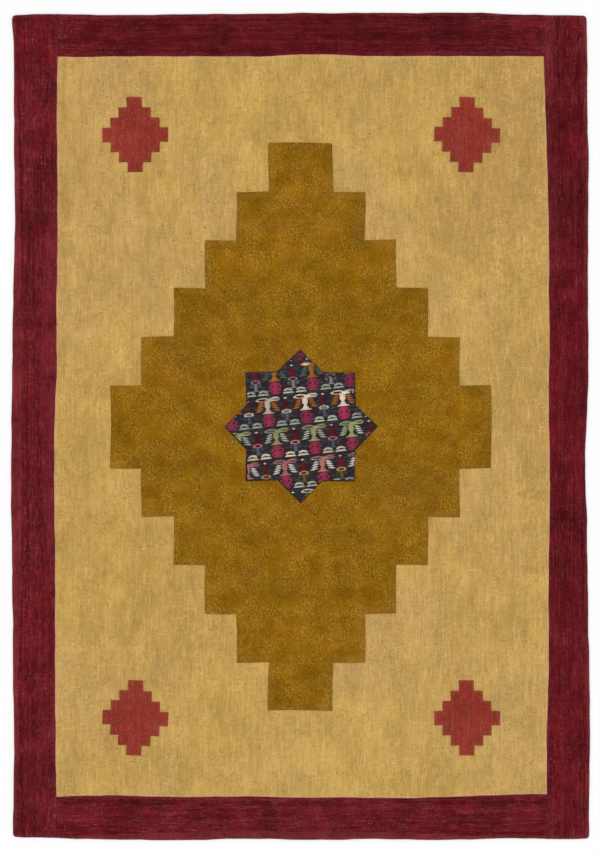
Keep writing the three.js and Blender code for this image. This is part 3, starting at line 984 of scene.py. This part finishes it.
def sewn(sheet, material, seed):
    """Running stitches along a sheet's turned edge."""
    draw = random.Random(seed)
    places = []
    left_over = 0.0
    for start, end in sheet["sewing"]:
        way = end - start
        length = way.length
        at = STITCH_PITCH - left_over
        while at < length:
            spot = start + way * (at / length)
            angle = math.atan2(way.y, way.x) + draw.uniform(-STITCH_TURN, STITCH_TURN)
            height = surface(spot.x, spot.y, STITCH_RING * MM, sheet["base"], sheet["thick"], True)
            height += STITCH_HEIGHT * STITCH_SEAT
            size = (STITCH_LENGTH * draw.uniform(*STITCH_LENGTHS), STITCH_WIDTH, STITCH_HEIGHT)
            places.append(laid_at(spot.x, spot.y, height, angle, size))
            at += STITCH_PITCH * draw.uniform(*STITCH_SPACINGS)
        left_over = length - (at - STITCH_PITCH)
    return repeated(sheet["node"] + "_stitches", stitch_shape(), places, material)


def oversewn(sheet, sides, material, seed):
    """Slanted stitches that hold a sheet's sides to the panel beside it."""
    draw = random.Random(seed)
    places = []
    for start, end in sides:
        angle = math.atan2(end.y - start.y, end.x - start.x)
        for spot in along([(start, end)], SEAM_STITCH_PITCH):
            height = surface(spot.x, spot.y, EDGE_ROUND, sheet["base"], sheet["thick"], True)
            height += STITCH_HEIGHT * SEAM_STITCH_SEAT
            length = SEAM_STITCH_LENGTH * draw.uniform(*SEAM_STITCH_LENGTHS)
            slant = angle + SEAM_STITCH_SLANT + draw.uniform(-SEAM_STITCH_TURN, SEAM_STITCH_TURN)
            size = (length, STITCH_WIDTH, STITCH_HEIGHT)
            places.append(laid_at(spot.x, spot.y, height, slant, size))
    return repeated(sheet["node"] + "_seam_stitches", stitch_shape(), places, material)


def charted():
    """One repeat of the brocading as rows of letters, with every motif in its place."""
    grid = [["."] * REPEAT_WIDE for _ in range(REPEAT_TALL)]
    for motif, first_column, first_row in LAYOUT:
        for row, line in enumerate(motif, start=first_row):
            for column, letter in enumerate(line, start=first_column):
                if letter != ".":
                    grid[row % REPEAT_TALL][column % REPEAT_WIDE] = letter
    return grid


def inside_star(x, y, radius):
    """Whether a point lies in either of the two squares that make the star, clear of its edge."""
    upright = max(abs(x), abs(y)) <= radius * math.sqrt(0.5) - BROCADE_MARGIN
    slanted = abs(x) + abs(y) <= radius - BROCADE_MARGIN * math.sqrt(2)
    return upright or slanted


def brocaded(sheet, material):
    """The raised threads of the brocading: one float for each run of like cells in a row."""
    low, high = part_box(sheet["node"])
    centre = Vector(((low[0] + high[0]) / 2, (low[1] + high[1]) / 2, 0))
    radius = (high[0] - low[0]) / 2
    draw = random.Random(11)
    turn = Matrix.Rotation(BROCADE_TURN, 3, "Z")
    grid = charted()
    columns = int(radius / CELL_WIDE * BROCADE_REACH)
    rows = int(radius / CELL_TALL * BROCADE_REACH)
    places = []
    dyes = []
    tones = {}
    for row in range(-rows, rows):
        row_threads = ROW_THREADS[(row // REPEAT_TALL) % len(ROW_THREADS)]
        threads = {**FIXED_THREADS, **row_threads}
        letters = []
        for column in range(-columns, columns + 1):
            spot = turn @ Vector((column * CELL_WIDE, -row * CELL_TALL, 0))
            letter = grid[row % REPEAT_TALL][(column - row_threads["shift"]) % REPEAT_WIDE]
            letters.append(letter if inside_star(spot.x, spot.y, radius) else ".")
        start = 0
        for i in range(1, len(letters) + 1):
            if i < len(letters) and letters[i] == letters[start]:
                continue
            letter = letters[start]
            if letter != ".":
                middle = ((start + i - 1) / 2 - columns) * CELL_WIDE
                middle += draw.uniform(-FLOAT_SHIFT, FLOAT_SHIFT)
                down = row * CELL_TALL + draw.uniform(-ROW_SHIFT, ROW_SHIFT)
                spot = centre + turn @ Vector((middle, -down, 0))
                height = surface(spot.x, spot.y, FAR_FROM_EDGE, sheet["base"], sheet["thick"], True)
                height += FLOAT_HEIGHT * FLOAT_SEAT
                length = (i - start) * CELL_WIDE * draw.uniform(*FLOAT_LENGTHS)
                size = (length, CELL_TALL, FLOAT_HEIGHT)
                places.append(laid_at(spot.x, spot.y, height, BROCADE_TURN, size))
                motif = (row // REPEAT_TALL, (start - row_threads["shift"]) // REPEAT_WIDE, letter)
                if motif not in tones:
                    tones[motif] = draw.uniform(*MOTIF_TONES)
                tone = tones[motif] * draw.uniform(*FLOAT_TONES)
                dyes.append([c * tone for c in dye(*DYES[threads[letter]])[:3]] + [1.0])
            start = i
    return repeated("star_brocading", float_shape(), places, material, dyes)


def settle(piece, node=None):
    """Puts a piece on the rug's one body, and hides the node that it stands for."""
    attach(piece, "root")
    if node:
        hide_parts(node)


def dressed(node, finish, thread, rim, turn, start, extra=None):
    """A sheet with its stitches, put on the rug's one body in place of its node."""
    sheet = cloth(node, finish, rim, turn, start)
    settle(sheet["piece"], node)
    with_pieces = [sewn(sheet, thread, int(start * 10))]
    if extra:
        with_pieces.append(extra(sheet))
    for piece in with_pieces:
        settle(piece)


# Room

def make_floor():
    bm = bmesh.new()
    bmesh.ops.create_grid(bm, x_segments=8, y_segments=8, size=FLOOR_HALF_WIDTH)
    bmesh.ops.translate(bm, verts=bm.verts, vec=(0, 0, -FLOOR_DROP))
    floor = new_piece("floor", bm, floor_finish(), smooth=False)


def make_light():
    world = bpy.data.worlds.new("soft_room")
    world.use_nodes = True
    world.node_tree.nodes["Background"].inputs["Color"].default_value = (1.0, 1.0, 1.0, 1.0)
    world.node_tree.nodes["Background"].inputs["Strength"].default_value = ROOM_LIGHT
    bpy.context.scene.world = world
    lamp = bpy.data.lights.new("window", "SUN")
    lamp.energy = WINDOW_LIGHT
    lamp.angle = WINDOW_SPREAD
    window = bpy.data.objects.new("window", lamp)
    window.rotation_euler = Vector(WINDOW_FROM).to_track_quat("Z", "Y").to_euler()
    bpy.context.scene.collection.objects.link(window)


def make_camera():
    lens = bpy.data.cameras.new("overhead")
    lens.lens = LENS_MM
    lens.sensor_width = SENSOR_MM
    view_height = PICTURE_HEIGHT_PX * ROOM_PER_PIXEL
    camera = bpy.data.objects.new("overhead", lens)
    rug_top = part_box("field")[1][2]
    camera.location = (*PICTURE_CENTRE, rug_top + view_height * LENS_MM / SENSOR_MM)
    lens.clip_end = 3 * FLOOR_HALF_WIDTH
    bpy.context.scene.collection.objects.link(camera)
    bpy.context.scene.camera = camera


make_camera()
make_light()
make_floor()
bpy.context.scene.view_settings.view_transform = "Standard"

sand = sand_finish()
burgundy = burgundy_finish()
mustard = mustard_finish()
brick = brick_finish()
plum = plum_finish()
yarn = yarn_finish()
burgundy_thread = sewing_finish("burgundy_thread", (92, 24, 32), (120, 44, 50))
seam_thread = sewing_finish("seam_thread", (150, 96, 72), (120, 56, 50))
sand_thread = sewing_finish("sand_thread", (188, 150, 88), (206, 170, 108))
mustard_thread = sewing_finish("mustard_thread", (120, 80, 16), (150, 106, 36))
brick_thread = sewing_finish("brick_thread", (126, 42, 35), (156, 70, 58))
plum_thread = sewing_finish("plum_thread", (44, 30, 34), (66, 48, 50))


def field_seams(sheet):
    return oversewn(sheet, sheet["sides"], seam_thread, 21)


def band_end_seams(sheet):
    """Oversews the two short ends of a band, where it meets the side bands."""
    ends = [(start, end) for start, end in sheet["sides"] if abs(end.y - start.y) > abs(end.x - start.x)]
    return oversewn(sheet, ends, burgundy_thread, 22)


def band(node, turn, start, extra=None):
    """One burgundy band of the border, with its threads turned by an angle."""
    dressed(node, burgundy, burgundy_thread, rim, turn, start, extra)


CROSSWISE = math.pi / 2
rim = rim_finder()
band("border_left", 0.0, 1.3)
band("border_right", 0.0, 4.1)
band("border_top", CROSSWISE, 7.7, band_end_seams)
band("border_bottom", CROSSWISE, 9.2, band_end_seams)
dressed("field", sand, sand_thread, rim, 0.0, 2.4, field_seams)
dressed("medallion", mustard, mustard_thread, rim, 0.0, 3.5)
dressed("star", plum, plum_thread, rim, BROCADE_TURN, 5.6,
        extra=lambda sheet: brocaded(sheet, yarn))
for index, corner in enumerate(CORNERS):
    dressed(corner, brick, brick_thread, rim, 0.0, 6.1 + index)
